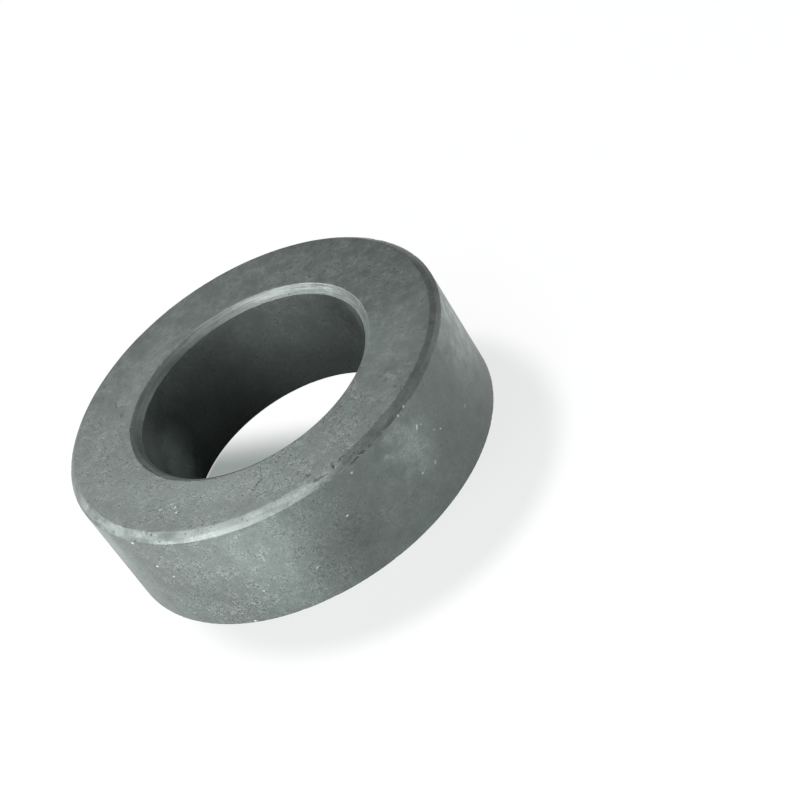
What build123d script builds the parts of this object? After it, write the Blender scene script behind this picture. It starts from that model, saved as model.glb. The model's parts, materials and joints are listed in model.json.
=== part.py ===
"""Ferrite ring core: a plain toroid, pressed from powder and sintered as one piece.

The ring lies flat on its lower face. The origin is the centre of that face and +Z runs
along the bore, up to the chamfered end. Every size is in millimetres.
"""
import os

from build123d import *

# Body: the bore, the wall from the bore out to the rim, and the height. 60 outside.
bore_diameter = 36.2
wall_thickness = 11.9
height = 18.4

# Chamfers that the upper punch leaves round the top face: width across the face, and drop
outer_chamfer_width = 1.25
outer_chamfer_drop = 1.05
bore_chamfer_width = 1.2
bore_chamfer_drop = 1.15

# Lower end: the die leaves its outer edge nearly sharp, and the core rod's edge is broken
lower_outer_break = 0.2
lower_bore_break = 0.6


def ring_section():
    """Half of the ring's section, in the plane of X (radius) and Z (height)."""
    inside = bore_diameter / 2
    outside = inside + wall_thickness
    return Polyline(
        (inside + lower_bore_break, 0),
        (outside - lower_outer_break, 0),
        (outside, lower_outer_break),
        (outside, height - outer_chamfer_drop),
        (outside - outer_chamfer_width, height),
        (inside + bore_chamfer_width, height),
        (inside, height - bore_chamfer_drop),
        (inside, lower_bore_break),
        close=True,
    )


def ring_core():
    """The whole core: its section turned once round the bore's axis."""
    section = Plane.XZ * make_face(ring_section())
    return revolve(section, axis=Axis.Z, revolution_arc=360)


os.makedirs("parts", exist_ok=True)
export_step(ring_core(), "parts/ring_core.step")
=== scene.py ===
"""A ferrite ring core on a plain pale floor, seen at the photograph's angle.

The section of the ring is turned by a Geometry Nodes tree, which also crumbles its rims
and nicks its edges, and one procedural material gives the sintered ferrite.
"""
import json
import math

import bpy
from mathutils import Matrix, Vector


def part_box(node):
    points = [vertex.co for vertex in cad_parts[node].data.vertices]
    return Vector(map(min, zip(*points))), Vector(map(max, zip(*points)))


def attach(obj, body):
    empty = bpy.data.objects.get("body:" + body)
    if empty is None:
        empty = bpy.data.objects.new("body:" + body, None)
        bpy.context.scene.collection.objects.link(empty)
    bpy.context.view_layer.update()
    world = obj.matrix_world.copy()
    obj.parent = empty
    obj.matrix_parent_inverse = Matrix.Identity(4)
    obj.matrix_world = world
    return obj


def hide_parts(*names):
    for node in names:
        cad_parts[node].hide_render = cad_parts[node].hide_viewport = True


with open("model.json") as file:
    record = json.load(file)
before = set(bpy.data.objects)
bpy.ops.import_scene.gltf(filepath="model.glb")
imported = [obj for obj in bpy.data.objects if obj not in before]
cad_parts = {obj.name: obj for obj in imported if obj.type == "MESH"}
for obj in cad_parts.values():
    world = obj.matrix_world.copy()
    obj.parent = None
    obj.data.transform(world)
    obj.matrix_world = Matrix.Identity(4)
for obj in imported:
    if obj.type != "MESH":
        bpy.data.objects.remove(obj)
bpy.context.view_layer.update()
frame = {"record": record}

MM = 0.001

# The camera stands a third of a metre off, 36 degrees above the ring's face, and is rolled
# to the side, because the ring lies flat here and leans in the photograph. It is aimed at
# a point beside the ring, so that the ring stands left of the middle of the frame.
camera_place = Vector((0.0, -268.45, 192.46)) * MM
camera_aim = Vector((15.62, -12.93, 9.2)) * MM
camera_roll = math.radians(-33.15)
camera_lens = 100.87

camera_data = bpy.data.cameras.new("camera")
camera_data.lens = camera_lens
camera_data.clip_start = 10 * MM
camera = bpy.data.objects.new("camera", camera_data)
facing = (camera_aim - camera_place).to_track_quat("-Z", "Y").to_matrix()
turned = facing @ Matrix.Rotation(camera_roll, 3, "Z")
camera.matrix_world = Matrix.Translation(camera_place) @ turned.to_4x4()
bpy.context.scene.collection.objects.link(camera)
bpy.context.scene.camera = camera
bpy.context.scene.view_settings.view_transform = "Standard"


# The ring core. Soft ferrite powder is pressed between two punches in a die, with a rod
# for the bore, and fired to a hard dark ceramic. It is one piece, without a coating. The
# punch rounds off the rims of the upper end, and handling has rubbed and nicked them.
class Socket:
    """One value in a node tree. Arithmetic on it adds Math nodes to the tree."""

    def __init__(self, graph, output):
        self.graph = graph
        self.output = output

    def math(self, operation, *others):
        values = dict(enumerate((self, *others)))
        return self.graph.node("ShaderNodeMath", {"operation": operation}, values)

    def __add__(self, other):
        return self.math("ADD", other)

    __radd__ = __add__

    def __sub__(self, other):
        return self.math("SUBTRACT", other)

    def __rsub__(self, other):
        return self * -1.0 + other

    def __mul__(self, other):
        return self.math("MULTIPLY", other)

    __rmul__ = __mul__

    def __truediv__(self, other):
        return self.math("DIVIDE", other)

    def larger(self, other):
        return self.math("MAXIMUM", other)

    def vector(self, operation, *others):
        """The vector that comes out of a Vector Math node."""
        values = dict(enumerate((self, *others)))
        return self.graph.node("ShaderNodeVectorMath", {"operation": operation}, values)

    def scaled(self, factor):
        """A vector or a colour, times a number."""
        values = {0: self, "Scale": factor}
        return self.graph.node("ShaderNodeVectorMath", {"operation": "SCALE"}, values)

    def length(self):
        settings = {"operation": "LENGTH"}
        return self.graph.node("ShaderNodeVectorMath", settings, {0: self}, "Value")

    def parts(self):
        """The X, Y and Z of a vector."""
        node = self.graph.node("ShaderNodeSeparateXYZ", {}, {0: self}).output.node
        return [Socket(self.graph, output) for output in node.outputs]

    def ramp(self, low, high):
        """0 up to low, 1 from high on, smooth between; or falling, where low is the larger."""
        start, end, first, last = (low, high, 0.0, 1.0) if low < high else (high, low, 1.0, 0.0)
        values = {"Value": self, 1: start, 2: end, 3: first, 4: last}
        return self.graph.node("ShaderNodeMapRange", {"interpolation_type": "SMOOTHSTEP"}, values)


class Graph:
    """A node tree that is being built."""

    def __init__(self, tree):
        self.tree = tree

    def node(self, kind, settings=None, values=None, output=0):
        """Adds a node, gives it its settings, then the values or links of its sockets."""
        made = self.tree.nodes.new(kind)
        for name, value in (settings or {}).items():
            setattr(made, name, value)
        for name, value in (values or {}).items():
            if isinstance(value, Socket):
                self.tree.links.new(value.output, made.inputs[name])
            else:
                made.inputs[name].default_value = value
        return Socket(self, made.outputs[output]) if made.outputs else made

    def vector(self, x, y, z):
        return self.node("ShaderNodeCombineXYZ", {}, {0: x, 1: y, 2: z})

    def noise(self, vector, scale, detail=2.0, roughness=0.5):
        """A noise about 0.5 whose features are about 1 / scale wide."""
        values = {"Vector": vector, "Scale": scale, "Detail": detail, "Roughness": roughness}
        return self.node("ShaderNodeTexNoise", {}, values)


class ShapeTree(Graph):
    """A Geometry Nodes tree with named inputs."""

    def __init__(self, name):
        super().__init__(bpy.data.node_groups.new(name, "GeometryNodeTree"))
        face = self.tree.interface
        face.new_socket("Geometry", in_out="OUTPUT", socket_type="NodeSocketGeometry")
        self.chosen = {}

    def ask(self, name, kind, value):
        """Adds a named input, with the value that the modifier gives it."""
        face = self.tree.interface
        socket = face.new_socket(name, in_out="INPUT", socket_type="NodeSocket" + kind)
        self.chosen[socket.identifier] = value
        return self.node("NodeGroupInput", output=name)

    def pick(self, kind, index, options):
        """The one of the options that an index picks."""
        node = self.node("GeometryNodeIndexSwitch", {"data_type": kind}).output.node
        self.tree.links.new(index.output, node.inputs[0])
        while len(node.index_switch_items) < len(options):
            node.index_switch_items.new()
        for place, option in enumerate(options):
            if isinstance(option, Socket):
                self.tree.links.new(option.output, node.inputs[place + 1])
            else:
                node.inputs[place + 1].default_value = option
        return Socket(self, node.outputs[0])

    def build(self, name, geometry):
        """Runs the tree once and returns what it makes as a plain mesh object."""
        self.node("NodeGroupOutput", {}, {0: geometry})
        made = bpy.data.objects.new(name, bpy.data.meshes.new(name))
        bpy.context.scene.collection.objects.link(made)
        modifier = made.modifiers.new("shape", "NODES")
        modifier.node_group = self.tree
        for identifier, value in self.chosen.items():
            modifier[identifier] = value
        evaluated = made.evaluated_get(bpy.context.evaluated_depsgraph_get())
        mesh = bpy.data.meshes.new_from_object(evaluated)
        made.modifiers.clear()
        made.data = mesh
        mesh.name = name
        return made


# The ring's sizes in millimetres, as its solid has them
box_low, box_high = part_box("ring_core")
bore_mount = [mount for mount in frame["record"]["mounts"] if mount["name"] == "bore"][0]
outer_radius = box_high.x / MM
height = box_high.z / MM
bore_radius = bore_mount["dims"]["r_mm"]
outer_chamfer = (1.25, 1.05)
bore_chamfer = (1.20, 1.15)
lower_outer_break = 0.06
lower_bore_break = 0.45
outer_head = height - outer_chamfer[1]
bore_head = height - bore_chamfer[1]
outer_flat = outer_radius - outer_chamfer[0]
bore_flat = bore_radius + bore_chamfer[0]

# Where each chamfer bulges, as shares of its width and drop, and how far the upper rim of
# the bore's chamfer is off centre, and which way
crown = (0.47, 0.44)
rod_shift = 0.12
rod_turn = math.radians(216.0)

# How fine the mesh is: steps round the bore, and the points on each rounded corner
steps_round = 780
arc_points = 3

# Wear: how wide a band along a rim wanders, the cells that hold one small chip each, how
# deep such a chip is, and how uneven the faces are
wander_reach = 0.65
chip_cells = 0.36
small_chip = 0.05
unevenness = 0.035

# The rims: radius, height, how far from it the rim is worn, how deep, and how far it wanders
rims = [
    (outer_radius, outer_head, 0.35, 0.05, 0.07),
    (outer_flat, height, 0.30, 0.03, 0.09),
    (bore_flat, height, 0.30, 0.03, 0.09),
    (bore_radius, bore_head, 0.35, 0.06, 0.07),
    (outer_radius, 0.0, 0.35, 0.05, 0.0),
    (bore_radius + 0.3, 0.3, 0.5, 0.05, 0.0),
]

# Chips that stand out: angle round the ring, radius, height, size and depth
chips = [
    (93.3, 29.50, 17.95, 0.60, 0.24),
    (275.3, 29.1, 18.25, 0.50, 0.07),
    (295.7, 29.95, 17.35, 0.50, 0.10),
    (299.5, 29.95, 17.35, 0.45, 0.08),
    (290.2, 29.95, 17.40, 0.70, 0.10),
    (281.5, 28.85, 18.35, 0.40, 0.05),
    (24.0, 29.95, 17.35, 0.70, 0.18),
    (62.0, 29.95, 17.35, 0.50, 0.12),
    (128.0, 29.95, 0.05, 0.90, 0.22),
    (48.0, 29.95, 0.05, 0.60, 0.14),
]


def on_ring(angle, radius, z):
    """A point by its angle round the ring, its radius and its height."""
    turn = math.radians(angle)
    return Vector((radius * math.cos(turn), radius * math.sin(turn), z))


def ferrite_shape(material):
    """The ring's section turned round the bore, then its rims crumbled and chipped."""
    tree = ShapeTree("ferrite_ring")
    outer = tree.ask("Outer Radius", "Float", outer_radius)
    bore = tree.ask("Bore Radius", "Float", bore_radius)
    top = tree.ask("Height", "Float", height)
    outer_wide = tree.ask("Outer Chamfer Width", "Float", outer_chamfer[0])
    outer_drop = tree.ask("Outer Chamfer Drop", "Float", outer_chamfer[1])
    bore_wide = tree.ask("Bore Chamfer Width", "Float", bore_chamfer[0])
    bore_drop = tree.ask("Bore Chamfer Drop", "Float", bore_chamfer[1])
    outer_foot = tree.ask("Lower Outer Break", "Float", lower_outer_break)
    bore_foot = tree.ask("Lower Bore Break", "Float", lower_bore_break)
    steps = tree.ask("Steps Round", "Int", steps_round)
    shift_wide = tree.ask("Bore Chamfer Shift", "Float", rod_shift)
    wear = tree.ask("Wear", "Float", 1.0)

    # Each corner: its radius and height, how much it is rounded, and the rows of points on
    # the straight run that follows it
    corners = [
        (bore + bore_foot, top * 0.0, 0.06, 10),
        (outer - outer_foot, top * 0.0, 0.03, 0),
        (outer * 1.0, outer_foot, 0.03, 22),
        (outer * 1.0, top - outer_drop, 0.12, 4),
        (outer - outer_wide * crown[0], top - outer_drop * crown[1], 0.9, 4),
        (outer - outer_wide, top * 1.0, 0.3, 20),
        (bore + bore_wide, top * 1.0, 0.35, 4),
        (bore + bore_wide * crown[0], top - bore_drop * crown[1], 0.9, 4),
        (bore * 1.0, top - bore_drop, 0.12, 18),
        (bore * 1.0, bore_foot, 0.15, 0),
    ]
    index = tree.node("GeometryNodeInputIndex")
    places = [tree.vector(wide - outer, tall * -1.0, 0.0) for wide, tall, _, _ in corners]
    line = tree.node("GeometryNodeMeshLine", {}, {"Count": len(corners)})
    values = {0: line, "Position": tree.pick("VECTOR", index, places)}
    points = tree.node("GeometryNodeSetPosition", {}, values)
    curve = tree.node("GeometryNodeMeshToCurve", {}, {0: points})
    curve = tree.node("GeometryNodeSetSplineCyclic", {}, {0: curve, "Cyclic": True})
    rounding = tree.pick("FLOAT", index, [corner[2] for corner in corners])
    values = {0: curve, "Count": arc_points, "Radius": rounding, "Limit Radius": True}
    rounded = tree.node("GeometryNodeFilletCurve", {"mode": "POLY"}, values)

    # The rows of points, closer together towards the two ends of each straight run
    last_of_arc = index.math("MODULO", arc_points + 1).math("COMPARE", arc_points, 0.5)
    corner_of = (index / (arc_points + 1)).math("FLOOR")
    rows = tree.pick("INT", corner_of, [corner[3] for corner in corners]) * last_of_arc
    values = {0: rounded, "Name": "along", "Value": index}
    marked = tree.node("GeometryNodeStoreNamedAttribute", {}, values)
    finer = tree.node("GeometryNodeSubdivideCurve", {}, {0: marked, "Cuts": rows})
    along = tree.node("GeometryNodeInputNamedAttribute", {}, {"Name": "along"})
    eased = 0.5 - (along.math("FRACT") * math.pi).math("COSINE") * 0.5
    ends = []
    for step in (0.0, 1.0):
        here = tree.node("GeometryNodeInputPosition")
        values = {0: rounded, 1: here, 2: along.math("FLOOR") + step}
        ends.append(tree.node("GeometryNodeSampleIndex", {"data_type": "FLOAT_VECTOR"}, values))
    values = {"Factor": eased, 4: ends[0], 5: ends[1]}
    spaced = tree.node("ShaderNodeMix", {"data_type": "VECTOR"}, values, 1)
    is_row = along.math("FRACT").math("GREATER_THAN", 0.0)
    values = {0: finer, "Selection": is_row, "Position": spaced}
    section = tree.node("GeometryNodeSetPosition", {}, values)

    # Turned round the bore: the section's X points away from the axis and its Y down
    values = {"Resolution": steps, "Radius": outer}
    circle = tree.node("GeometryNodeCurvePrimitiveCircle", {}, values)
    circle = tree.node("GeometryNodeSetCurveNormal", {"mode": "Z_UP"}, {0: circle})
    turned_ring = tree.node("GeometryNodeCurveToMesh", {}, {0: circle, 1: section})
    turned_ring = tree.node("GeometryNodeFlipFaces", {}, {0: turned_ring})

    # The chamfers' edges wander, which leaves the faces and the walls as they are
    here = tree.node("GeometryNodeInputPosition")
    x, y, z = here.parts()
    radius = (x * x + y * y).math("SQRT")
    outwards = tree.vector(x / radius, y / radius, 0.0)
    away = [tree.vector(radius - wide, z - tall, 0.0).length() for wide, tall, *_ in rims]
    slow = tree.noise(here, 0.22, 3.0, 0.55) - 0.5
    quick = tree.noise(here, 1.1, 2.0, 0.5) - 0.5
    lean = (x * math.cos(rod_turn) + y * math.sin(rod_turn)) / radius
    sideways = away[2].ramp(wander_reach, 0.0) * lean * shift_wide
    upwards = 0.0
    for (_, tall, _, _, wander), distance in zip(rims, away):
        shift = (slow * 2.4 + quick * 0.3) * distance.ramp(wander_reach, 0.0) * wander
        if tall == height:
            sideways = sideways + shift
        else:
            upwards = upwards + shift
    offset = outwards.scaled(sideways).vector("ADD", tree.vector(0.0, 0.0, upwards))
    values = {0: turned_ring, "Offset": offset.scaled(wear)}
    wandering = tree.node("GeometryNodeSetPosition", {}, values)

    # Wear, all of it inwards: crumbled rims, small chips scattered along them, the chips
    # that stand out, and faces that are not quite flat
    crumbs = tree.noise(here, 2.1, 3.0, 0.6).ramp(0.42, 0.78)
    settings = {"voronoi_dimensions": "3D"}
    values = {"Vector": here, "Scale": chip_cells}
    cells = tree.node("ShaderNodeTexVoronoi", settings, values) / chip_cells
    scattered = (cells + quick * 0.5).ramp(0.75, 0.2)
    cut = tree.noise(here, 0.09, 2.0) * unevenness
    for (_, _, reach, depth, _), distance in zip(rims, away):
        crumbled = crumbs * depth + scattered * small_chip
        cut = cut + crumbled * distance.ramp(reach, reach * 0.15)
    for angle, wide, tall, size, depth in chips:
        values = {0: here, 1: on_ring(angle, wide, tall)}
        gap = tree.node("ShaderNodeVectorMath", {"operation": "DISTANCE"}, values, "Value")
        cut = cut + (gap + quick * size * 0.7).ramp(size, size * 0.3) * depth
    inwards = tree.node("GeometryNodeInputNormal").scaled(cut * wear * -1.0)
    values = {0: wandering, "Offset": inwards}
    worn = tree.node("GeometryNodeSetPosition", {}, values)

    # From millimetres to metres
    values = {"Geometry": worn, "Scale": (MM, MM, MM)}
    sized = tree.node("GeometryNodeTransform", {}, values)
    smooth = tree.node("GeometryNodeSetShadeSmooth", {}, {0: sized})
    real = tree.node("GeometryNodeRealizeInstances", {}, {0: smooth})
    return tree, tree.node("GeometryNodeSetMaterial", {}, {0: real, "Material": material})


# Sintered ferrite: near black grains that scatter a grey green sheen. Every constant here
# is for the eye: the colours in linear light, and the sizes of its patterns in millimetres.
teal_grey = (0.095, 0.116, 0.109, 1.0)
plain_grey = (0.1015, 0.116, 0.1115, 1.0)
rub_and_highlight_grey = (0.360, 0.405, 0.390, 1.0)
speck_and_glint_white = (0.68, 0.74, 0.70, 1.0)
ferrite_ior = 1.95
ferrite_gleam = (0.91, 1.0, 0.965, 1.0)
ferrite_roughness = 0.46
bump_depth = 0.07

# The side of the low lamps, where the grain's contrast is raised as painted sparkle, what
# shows of the grain elsewhere, the cells that hold one pit each, and how bare every chamfer is
sparkle_turn = math.radians(222.0)
sparkle_least = 0.28
pit_cells = 0.8
bare_everywhere = 0.16

# How far below the upper face a spot still lies flat on it, and how deep a mark reaches
flat_within = 0.01
mark_depth = 0.8

# Marks: angle round the ring, radius, height, half length, half width, slant of the long
# side from the way round, and strength: above 0 a pale speck, a bare grain with a painted
# glint, below it a dent, darkened as painted shade.
marks = [
    (210.2, 30.0, 17.0, 0.26, 0.19, 0, 1.0),
    (213.2, 30.0, 12.35, 0.24, 0.17, 20, 0.9),
    (216.7, 30.0, 10.4, 0.18, 0.14, 0, 0.9),
    (213.5, 30.0, 2.2, 0.15, 0.13, 0, 0.5),
    (227.3, 30.0, 2.5, 0.80, 0.30, 20, 0.12),
    (231.9, 30.0, 0.3, 0.20, 0.20, 0, 0.8),
    (240.3, 30.0, 5.6, 0.15, 0.13, 0, 0.6),
    (256.3, 30.0, 6.0, 0.26, 0.12, 30, 0.4),
    (270.4, 30.0, 10.9, 0.20, 0.16, 0, 0.6),
    (277.6, 30.0, 16.1, 0.18, 0.15, 0, 0.6),
    (293.4, 30.0, 7.5, 0.18, 0.15, 0, 0.8),
    (298.3, 30.0, 7.0, 0.30, 0.22, 40, 0.4),
    (299.4, 30.0, 13.4, 0.42, 0.15, 49, 1.0),
    (301.0, 30.0, 13.1, 0.15, 0.13, 0, 0.8),
    (303.5, 30.0, 10.5, 0.16, 0.12, 60, 0.5),
    (305.5, 30.0, 9.6, 0.18, 0.15, 0, 0.9),
    (318.1, 30.0, 7.1, 0.30, 0.14, 60, 0.4),
    (296.6, 30.0, 17.2, 0.22, 0.12, 60, 0.8),
    (299.5, 29.95, 17.35, 0.18, 0.13, 0, 0.9),
    (215.5, 24.8, 18.4, 0.26, 0.13, 35, 0.5),
    (221.1, 24.3, 18.4, 0.20, 0.16, 80, 0.9),
    (222.8, 25.2, 18.4, 0.22, 0.15, 80, 0.7),
    (218.6, 23.7, 18.4, 0.16, 0.13, 0, 0.5),
    (146.0, 18.1, 5.3, 1.25, 0.17, 54, 1.0),
    (217.7, 29.0, 18.2, 0.20, 0.16, 0, -0.9),
    (215.8, 28.9, 18.3, 0.16, 0.14, 0, -0.7),
    (206.3, 28.5, 18.4, 0.50, 0.16, 0, -0.6),
    (253.3, 23.3, 18.4, 0.62, 0.17, 38, -0.9),
    (252.2, 23.8, 18.4, 0.55, 0.15, 62, -0.8),
    (250.9, 24.5, 18.4, 0.28, 0.20, 0, -0.9),
    (251.6, 24.2, 18.4, 0.22, 0.16, 0, -0.6),
    (266.1, 25.9, 18.4, 0.45, 0.16, 45, -0.6),
    (268.3, 27.8, 18.4, 0.30, 0.24, 0, -1.0),
    (270.8, 29.25, 18.0, 1.25, 0.10, -5, -1.0),
    (274.9, 29.2, 18.1, 0.22, 0.18, 0, -0.9),
    (280.2, 29.95, 17.35, 0.90, 0.15, 4, -1.0),
    (283.0, 29.9, 17.45, 0.55, 0.16, -10, -1.0),
    (285.6, 29.95, 17.35, 0.40, 0.12, 0, -0.8),
    (271.5, 30.0, 10.4, 0.60, 0.30, 20, -0.5),
    (268.7, 30.0, 5.5, 0.35, 0.16, 40, -0.6),
    (140.3, 23.5, 18.4, 0.20, 0.18, 0, -1.0),
    (147.9, 21.4, 18.4, 0.40, 0.22, 0, -0.8),
    (38.0, 20.8, 18.4, 0.45, 0.14, 20, -0.6),
    (50.7, 20.3, 18.4, 0.50, 0.12, 0, -0.6),
]

# Stains and painted light: as the marks are, but wide and soft. Above 0 the ferrite is
# lighter, below darker.
stains_and_painted_light = [
    # On the outer wall: lighter bands are painted sheen and darker ones painted shade. The patch
    # at 295 degrees is a painted reflection, and those at 194, 333 and 346 degrees are painted
    # highlights at the wall's edges.
    (246.0, 30.0, 10.0, 6.0, 12.0, 0, 0.44),
    (245.0, 30.0, 14.0, 16.0, 7.0, 0, 0.42),
    (268.0, 30.0, 9.0, 7.5, 12.0, 0, -0.42),
    (270.0, 30.0, 7.0, 2.6, 3.4, 0, -0.20),
    (295.0, 30.0, 11.5, 3.8, 6.4, 0, 0.78),
    (290.5, 30.0, 14.5, 2.2, 2.6, 0, 0.40),
    (301.0, 30.0, 13.0, 3.2, 5.0, 0, 0.32),
    (313.0, 30.0, 9.0, 6.0, 12.0, 0, -0.18),
    (346.0, 30.0, 13.0, 7.5, 9.0, 0, 2.30),
    (333.0, 30.0, 14.0, 5.5, 7.0, 0, 1.00),
    (194.0, 30.0, 14.0, 3.8, 7.0, 0, 0.90),
    (214.0, 30.0, 8.0, 6.0, 9.0, 0, -0.14),
    # On the upper face: patches that lighten and darken it
    (266.0, 24.5, 18.4, 19.0, 9.0, 0, 0.58),
    (322.0, 22.5, 18.4, 11.0, 7.0, 0, 0.50),
    (226.0, 20.6, 18.4, 16.0, 3.4, 0, 0.42),
    (227.0, 24.0, 18.4, 8.0, 5.0, 0, 0.20),
    (135.0, 20.6, 18.4, 13.0, 3.0, 0, 0.28),
    (190.0, 24.0, 18.4, 16.0, 8.0, 0, 0.12),
    (310.0, 24.3, 18.4, 3.6, 1.3, -10, -0.35),
    (147.0, 22.5, 18.4, 2.2, 1.6, 30, -0.25),
    (120.0, 27.5, 18.4, 14.0, 3.0, 0, -0.20),
    # In the bore: the strong bright patches low on its left, at 151 and 165 degrees, are a
    # painted reflection; the others lighten and darken it
    (151.0, 18.1, 6.0, 4.6, 6.4, 30, 4.60),
    (165.0, 18.1, 10.0, 6.0, 9.0, 0, 2.00),
    (72.0, 18.1, 7.5, 10.0, 7.0, 0, 0.50),
    (118.0, 18.1, 9.5, 5.5, 7.0, 0, 0.55),
    (22.0, 18.1, 14.0, 4.5, 6.0, 0, -0.40),
]

# Where the chamfers are rubbed bare, in the same terms. The strong ones, where the chamfers
# face the low lamps, are painted highlights; those below 0 are darker.
rubs_and_highlights = [
    (199.0, 29.1, 18.1, 9.5, 0.70, 0, 0.80),
    (180.0, 29.2, 18.0, 7.0, 0.90, 0, 0.12),
    (240.0, 29.8, 17.42, 8.5, 0.44, 0, 1.10),
    (225.0, 29.4, 17.9, 15.0, 1.20, 0, 0.26),
    (256.0, 29.6, 17.7, 7.0, 0.90, 0, 0.48),
    (272.0, 29.6, 17.6, 5.5, 0.70, 0, 0.24),
    (286.0, 29.3, 17.9, 5.0, 0.80, 0, 0.08),
    (48.0, 18.9, 18.1, 10.0, 0.55, 0, 0.34),
    (50.0, 18.5, 17.6, 16.0, 1.20, 0, 0.20),
    (10.0, 18.5, 17.7, 10.0, 1.20, 0, 0.16),
    (148.0, 29.4, 17.9, 10.0, 1.20, 0, -0.12),
    (10.0, 29.4, 17.9, 12.0, 1.20, 0, -0.12),
]


def spot(graph, place, where, deep):
    """How far a place is from the middle of a spot, which lies at 1 from it."""
    angle, wide, tall, long_side, short_side, slant = where
    around = on_ring(angle + 90.0, 1.0, 0.0)
    on_top = tall >= height - flat_within
    out = Vector((0, 0, 1)) if on_top else on_ring(angle, 1.0, 0.0)
    lean = math.radians(slant)
    first = around * math.cos(lean) + out.cross(around) * math.sin(lean)
    axes = Matrix((first, out.cross(first), out)).transposed()
    values = {
        "Vector": place,
        "Location": on_ring(angle, wide, tall),
        "Rotation": axes.to_euler(),
        "Scale": (long_side, short_side, deep),
    }
    return graph.node("ShaderNodeMapping", {"vector_type": "TEXTURE"}, values).length()


def ferrite_finish():
    """The material of the whole ring, in Object coordinates turned to millimetres."""
    material = bpy.data.materials.new("sintered_ferrite")
    material.use_nodes = True
    material.node_tree.nodes.clear()
    graph = Graph(material.node_tree)
    place = graph.node("ShaderNodeTexCoord", output="Object").scaled(1.0 / MM)
    x, y, z = place.parts()
    radius = (x * x + y * y).math("SQRT")

    # Where the walls, the chamfers and the flat faces are
    outer_wall = radius.ramp(outer_radius - 0.35, outer_radius - 0.15)
    outer_wall = outer_wall * z.ramp(outer_head, outer_head - 0.1)
    bore_wall = radius.ramp(bore_radius + 0.35, bore_radius + 0.15)
    bore_wall = bore_wall * z.ramp(bore_head, bore_head - 0.1)
    walls = outer_wall.larger(bore_wall)
    on_outer = radius.ramp(outer_flat - 0.1, outer_flat + 0.1)
    on_outer = on_outer * z.ramp(outer_head - 0.06, outer_head + 0.04)
    on_bore = radius.ramp(bore_flat + 0.1, bore_flat - 0.1)
    on_bore = on_bore * z.ramp(bore_head - 0.06, bore_head + 0.04)
    chamfers = on_outer.larger(on_bore)
    face = (1.0 - walls) * (1.0 - chamfers)

    # Patches of neutral and of greenish grey, worms of lighter and darker grains, grain,
    # clouds, and the places where the powder is packed closer
    patches = graph.noise(place, 0.13, 3.0, 0.6)
    worms = graph.noise(place, 1.5, 3.0, 0.62) - 0.5
    grain = graph.noise(place, 4.2, 2.0, 0.6) - 0.5
    clouds = graph.noise(place, 0.42, 2.0, 0.5) - 0.5
    packed = graph.noise(place, 0.42, 3.0, 0.6).ramp(0.40, 0.64)

    # Streaks that the die and the rod draw up the walls, and running lines on the chamfers
    up_wall = graph.vector(x * 1.9, y * 1.9, z * 0.16)
    streaks = (graph.noise(up_wall, 1.0, 3.0, 0.6) - 0.5) * walls
    across = graph.vector(x * 0.16, y * 0.16, (radius * 0.7 + z) * 3.6)
    lines = (graph.noise(across, 1.0, 3.0, 0.62) - 0.5) * chamfers

    # Pits, sparse, dented by the bump and darkened in the colour as painted shade
    settings = {"voronoi_dimensions": "3D"}
    values = {"Vector": place, "Scale": pit_cells}
    cells = graph.node("ShaderNodeTexVoronoi", settings, values) / pit_cells
    pits = (cells + grain * 0.3).ramp(0.20, 0.08)

    # How much painted sparkle the grain gets: most on the side of the low lamps
    towards = x * math.cos(sparkle_turn) + y * math.sin(sparkle_turn)
    far_side = (towards - outer_wall * 20.0).ramp(-5.0, 14.0)
    sparkle = sparkle_least + far_side * (1.0 - sparkle_least)

    # Stains and painted light on the faces and the walls, with the clouds in their edges. They
    # are broken up where the outer wall is packed close.
    blurred = place.vector("ADD", graph.vector(clouds * 5.0, worms * 1.5, clouds * -4.0))
    stain_and_light_tone = 0.0
    for *where, strength in stains_and_painted_light:
        area = outer_wall if where[1] > bore_flat else bore_wall
        if where[2] > outer_head:
            area = face
        deep = max(where[3], where[4])
        blot = spot(graph, blurred, where, deep).ramp(1.35, 0.25)
        stain_and_light_tone = blot * strength * area + stain_and_light_tone
    stain_and_light_tone = stain_and_light_tone * (1.0 + (packed - 0.5) * outer_wall * (1.0 - sparkle) * 1.2)

    # The chamfers are rubbed bare in places, and lighter where a painted highlight lies
    rub_and_highlight = bare_everywhere
    for *where, strength in rubs_and_highlights:
        rub_and_highlight = spot(graph, place, where, where[3]).ramp(1.3, 0.4) * strength + rub_and_highlight
    rub_and_highlight = rub_and_highlight * chamfers * (1.0 + clouds * 0.3 + lines * 2.0 + grain * 0.4)
    rub_and_highlight = rub_and_highlight.larger(0.0).math("MINIMUM", 1.0)

    # The shade: coarse and fine grain, strongest on the side of the low lamps, which is painted
    # sparkle, and in the scuffs and painted sheen, then the clouds, the streaks, the lines, the
    # stains and painted light, and the pits
    scuffs_and_sheen = stain_and_light_tone.larger(0.0).math("MINIMUM", 2.0) * outer_wall
    patchy = (0.45 + packed) * (1.0 - chamfers * 0.68)
    grainy = (sparkle + scuffs_and_sheen * 0.34) * patchy
    coarse = worms * ((1.0 - walls * 0.5) * patchy + grainy * (1.9 - walls * 0.6))
    coarse = coarse + grain * grainy * (3.4 + walls * 1.2)
    soft = clouds * (1.4 - grainy * 0.75 - bore_wall * 0.7) * (1.0 - chamfers * 0.7)
    shade = 1.0 + coarse + soft + streaks * 0.12 + lines * 1.2 + stain_and_light_tone
    shade = shade.larger(0.15) * (1.0 - pits * 0.45)

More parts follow.
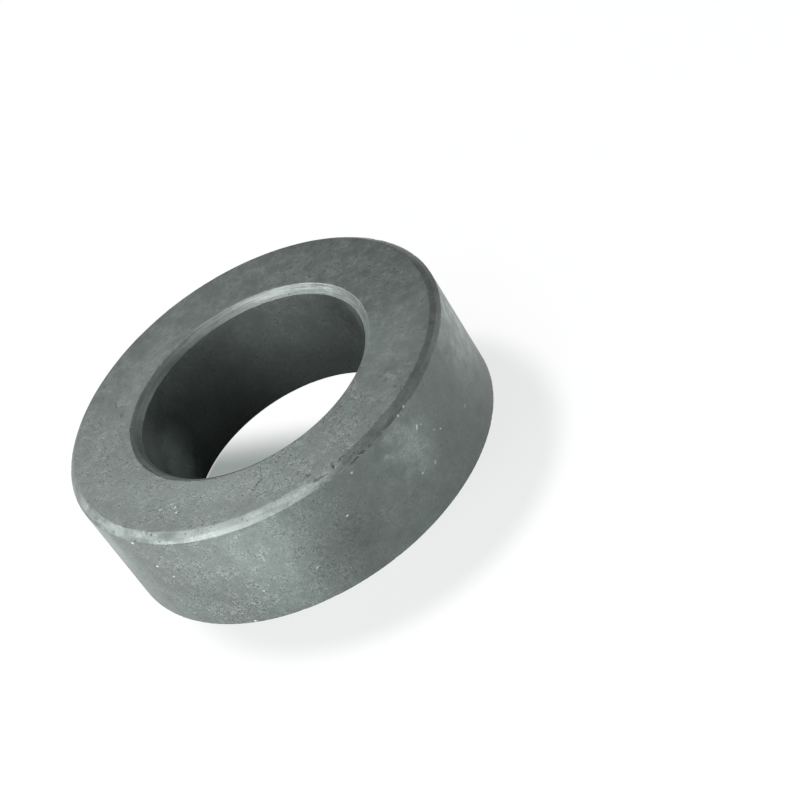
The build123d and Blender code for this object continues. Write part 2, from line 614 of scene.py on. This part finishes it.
    # The marks, with ragged edges
    ragged = graph.node("ShaderNodeTexNoise", {}, {"Vector": place, "Scale": 4.0}, "Color")
    ragged = ragged.vector("SUBTRACT", (0.5, 0.5, 0.5)).scaled(0.35)
    frayed = place.vector("ADD", ragged)
    light = None
    dark = None
    for *where, strength in marks:
        spotted = spot(graph, frayed, where, mark_depth).ramp(1.25, 0.7) * abs(strength)
        if strength > 0:
            light = spotted if light is None else light.larger(spotted)
        else:
            dark = spotted if dark is None else dark.larger(spotted)
    # Painted shade in the dents
    shade = shade * (1.0 - dark * 0.6)

    # The ferrite's own colour, then the paler rubs with their painted highlights, then the pale
    # specks with their painted glints
    plain = patches.ramp(0.35, 0.65).larger(scuffs_and_sheen).larger(bore_wall * 0.75)
    values = {"Factor": plain, 6: teal_grey, 7: plain_grey}
    colour = graph.node("ShaderNodeMix", {"data_type": "RGBA"}, values, 2)
    values = {"Factor": rub_and_highlight, 6: colour, 7: rub_and_highlight_grey}
    colour = graph.node("ShaderNodeMix", {"data_type": "RGBA"}, values, 2)
    values = {"Factor": light, 6: colour.scaled(shade), 7: speck_and_glint_white}
    colour = graph.node("ShaderNodeMix", {"data_type": "RGBA"}, values, 2)

    roughness = ferrite_roughness - rub_and_highlight * 0.10 + coarse * 0.10 - streaks * 0.08
    relief = (worms * 0.3 + grain) * (0.55 + walls * 0.45) * sparkle * patchy
    relief = relief + lines * 0.5 - pits * 0.4 - dark * 0.8
    bump = graph.node("ShaderNodeBump", {}, {"Height": relief, "Distance": bump_depth * MM})
    values = {
        "Base Color": colour,
        "Roughness": roughness,
        "IOR": ferrite_ior,
        "Specular Tint": ferrite_gleam,
        "Normal": bump,
    }
    surface = graph.node("ShaderNodeBsdfPrincipled", {}, values)
    graph.node("ShaderNodeOutputMaterial", {}, {"Surface": surface})
    return material


ferrite = ferrite_finish()
tree, geometry = ferrite_shape(ferrite)
ring = tree.build("ferrite_ring", geometry)
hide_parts("ring_core")
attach(ring, "root")


# The floor is a plain pale sweep. The camera and the ring's gloss see it white, and part
# of its own lit colour stays in the mix, which keeps the ring's soft shadow. The white is
# held back by a painted shadow, drawn by position and not cast by the lamps: a crescent at
# the ring's foot, and a shade in the bore on the side of the low lamps.
floor_reach = 3.0
floor_colour = (0.72, 0.82, 0.785, 1.0)
floor_shade = (0.08, 0.13, 0.115, 1.0)
floor_glow = (1.0, 1.0, 1.0, 1.0)
floor_bore_shade_tone = (0.115, 0.120, 0.119, 1.0)
floor_white = 0.90
floor_strength = 1.05

# The painted shadow at the foot: its depth, the angle and the distance of its middle, and its
# blur
foot_shade = 0.19
foot_turn = 290.0
foot_shift = 14.0
foot_blur = 3.0

# The painted shade in the bore: its angle, where it starts and ends along that, the light
# that is left in it, the blur at the wall, and how much the floor beside it is raised
bore_shade_turn = math.radians(47.6)
bore_shade_low = 1.2
bore_shade_high = 10.8
bore_shade_least = 0.24
bore_blur = 1.0
bore_lift = 0.06

floor_mesh = bpy.data.meshes.new("floor")
around = [(-1, -1, 0), (1, -1, 0), (1, 1, 0), (-1, 1, 0)]
floor_mesh.from_pydata([Vector(corner) * floor_reach for corner in around], [], [(0, 1, 2, 3)])
floor = bpy.data.objects.new("floor", floor_mesh)
bpy.context.scene.collection.objects.link(floor)
sweep = bpy.data.materials.new("pale_sweep")
sweep.use_nodes = True
sweep.node_tree.nodes.clear()
graph = Graph(sweep.node_tree)
place = graph.node("ShaderNodeTexCoord", output="Object").scaled(1.0 / MM)
x, y, z = place.parts()
radius = (x * x + y * y).math("SQRT")
across = x * math.cos(bore_shade_turn) + y * math.sin(bore_shade_turn)
in_bore = radius.ramp(bore_radius + bore_blur, bore_radius)
bore_dim = across.ramp(bore_shade_high, bore_shade_low) * (1.0 - bore_shade_least)
bore_light = 1.0 - in_bore * bore_dim
foot_away = place.vector("SUBTRACT", on_ring(foot_turn, foot_shift, 0.0)).length()
foot_edge = (outer_radius - foot_blur, outer_radius + foot_blur)
foot_light = 1.0 - foot_away.ramp(foot_edge[1], foot_edge[0]) * (1.0 - in_bore) * foot_shade
values = {"Factor": bore_light * foot_light, 6: floor_shade, 7: floor_glow}
glow = graph.node("ShaderNodeMix", {"data_type": "RGBA"}, values, 2)
glow = glow.scaled(1.0 + in_bore * bore_lift)
mirrored = graph.node("ShaderNodeLightPath", output="Is Glossy Ray")
mirrored = mirrored.larger(graph.node("ShaderNodeLightPath", output="Is Transmission Ray"))
seen = graph.node("ShaderNodeLightPath", output="Is Camera Ray")
seen = seen.larger(mirrored * (1.0 - in_bore))
# The floor's own lit colour, which a painted shade darkens in the bore
values = {"Factor": in_bore, 6: floor_colour, 7: floor_bore_shade_tone}
tone = graph.node("ShaderNodeMix", {"data_type": "RGBA"}, values, 2)
lit = graph.node("ShaderNodeBsdfDiffuse", {}, {"Color": tone})
white = graph.node("ShaderNodeEmission", {}, {"Color": glow, "Strength": floor_strength})
mixed = graph.node("ShaderNodeMixShader", {}, {0: seen * floor_white, 1: lit, 2: white})
graph.node("ShaderNodeOutputMaterial", {}, {"Surface": mixed})
floor_mesh.materials.append(sweep)


# The light is that of a plain pale room: soft lamps low on the left and in front, one high
# on the left, one high behind the ring, and weaker ones above and on the right. The sky is
# white to the eye only.
middle = Vector((0, 0, 9)) * MM
lamp_distance = 0.45
lamp_size = 0.2
sky_fill = 0.03

# Each lamp: its angle round the ring, its rise above the ring in degrees, and its power
lamps = [
    ("left_low", 208, 10, 1.00),
    ("front_low", 240, 10, 0.75),
    ("back_high", 117, 50, 0.88),
    ("left_high", 195, 50, 0.80),
    ("above", 240, 70, 0.23),
    ("right_low", 5, 9, 0.46),
]
for name, around, above, power in lamps:
    data = bpy.data.lights.new(name, "AREA")
    data.shape = "DISK"
    data.size = lamp_size
    data.energy = power
    lamp = bpy.data.objects.new(name, data)
    turn, rise = math.radians(around), math.radians(above)
    level = math.cos(rise)
    way = Vector((math.cos(turn) * level, math.sin(turn) * level, math.sin(rise)))
    aimed = way.to_track_quat("Z", "Y").to_matrix().to_4x4()
    lamp.matrix_world = Matrix.Translation(middle + way * lamp_distance) @ aimed
    bpy.context.scene.collection.objects.link(lamp)

sky = bpy.data.worlds.new("sky")
sky.use_nodes = True
sky.node_tree.nodes.clear()
graph = Graph(sky.node_tree)
seen = graph.node("ShaderNodeLightPath", output="Is Camera Ray")
strength = sky_fill + seen * (1.0 - sky_fill)
pale = graph.node("ShaderNodeBackground", {}, {"Color": (1, 1, 1, 1), "Strength": strength})
graph.node("ShaderNodeOutputWorld", {}, {"Surface": pale})
bpy.context.scene.world = sky
